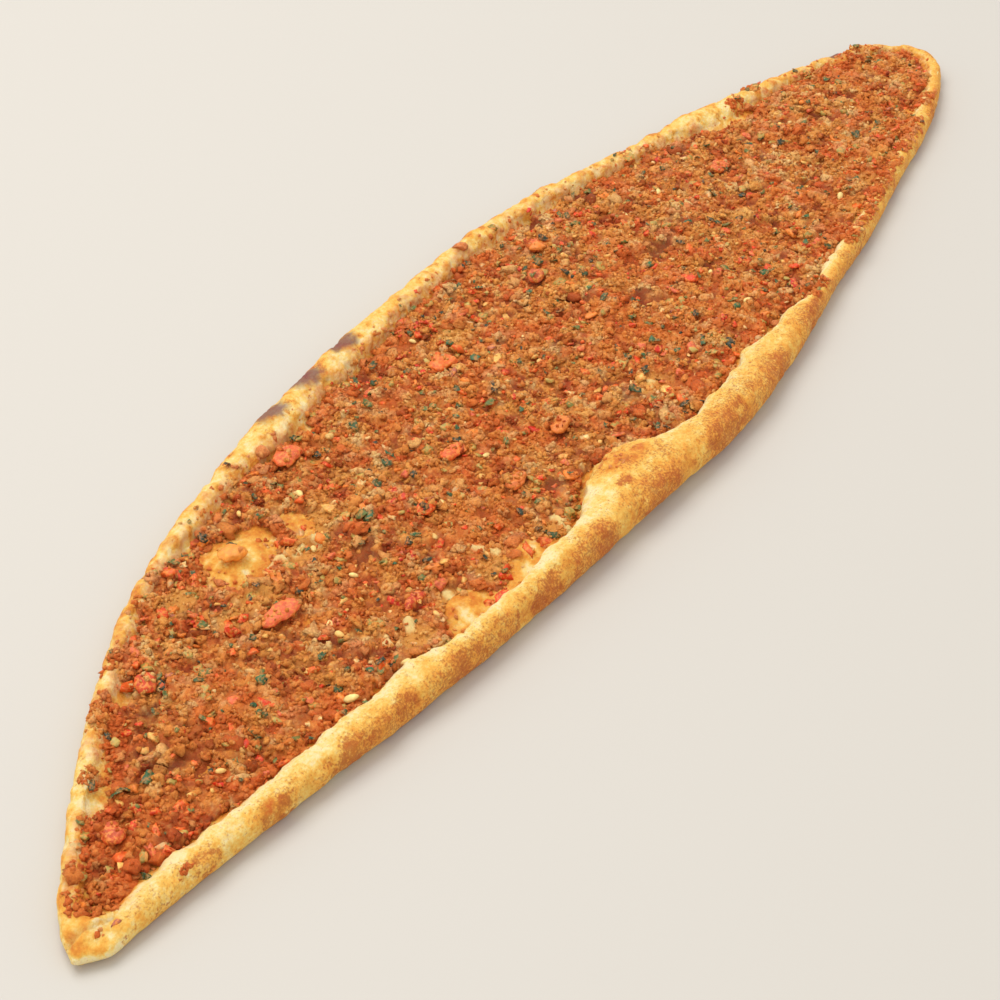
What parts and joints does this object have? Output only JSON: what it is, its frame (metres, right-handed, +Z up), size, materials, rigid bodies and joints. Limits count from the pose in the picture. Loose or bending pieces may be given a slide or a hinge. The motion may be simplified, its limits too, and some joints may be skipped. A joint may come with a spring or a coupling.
{
  "type": "turkish pide",
  "caption": "Long boat-shaped flatbread with a thick rolled near edge, a thin far edge and a thin layer of spiced mince, diced tomato and pepper.",
  "frame": {"origin": "middle of the object's box, on the flat underside that it lies on", "axes": "+X from the pointed tail to the blunt nose, +Y across to the thin far rim, +Z up"},
  "size_m": [0.6454, 0.1571, 0.0159],
  "materials": {
    "crust": "baked dough, pale cream to golden brown",
    "mince": "cooked spiced mince, crumbly and lightly oily",
    "tomato": "soft baked tomato, moist",
    "pepper": "soft baked red pepper, moist"
  },
  "bodies": {
    "root": {"crust": "crust", "mince_filling": "mince", "tomato_piece_1": "tomato", "tomato_piece_2": "tomato", "tomato_piece_3": "tomato", "tomato_piece_4": "tomato", "tomato_piece_5": "tomato", "tomato_piece_6": "tomato", "tomato_piece_7": "tomato", "tomato_piece_8": "tomato", "pepper_piece_1": "pepper", "pepper_piece_2": "pepper", "pepper_piece_3": "pepper", "pepper_piece_4": "pepper", "pepper_piece_5": "pepper", "pepper_piece_6": "pepper"}
  },
  "joints": []
}
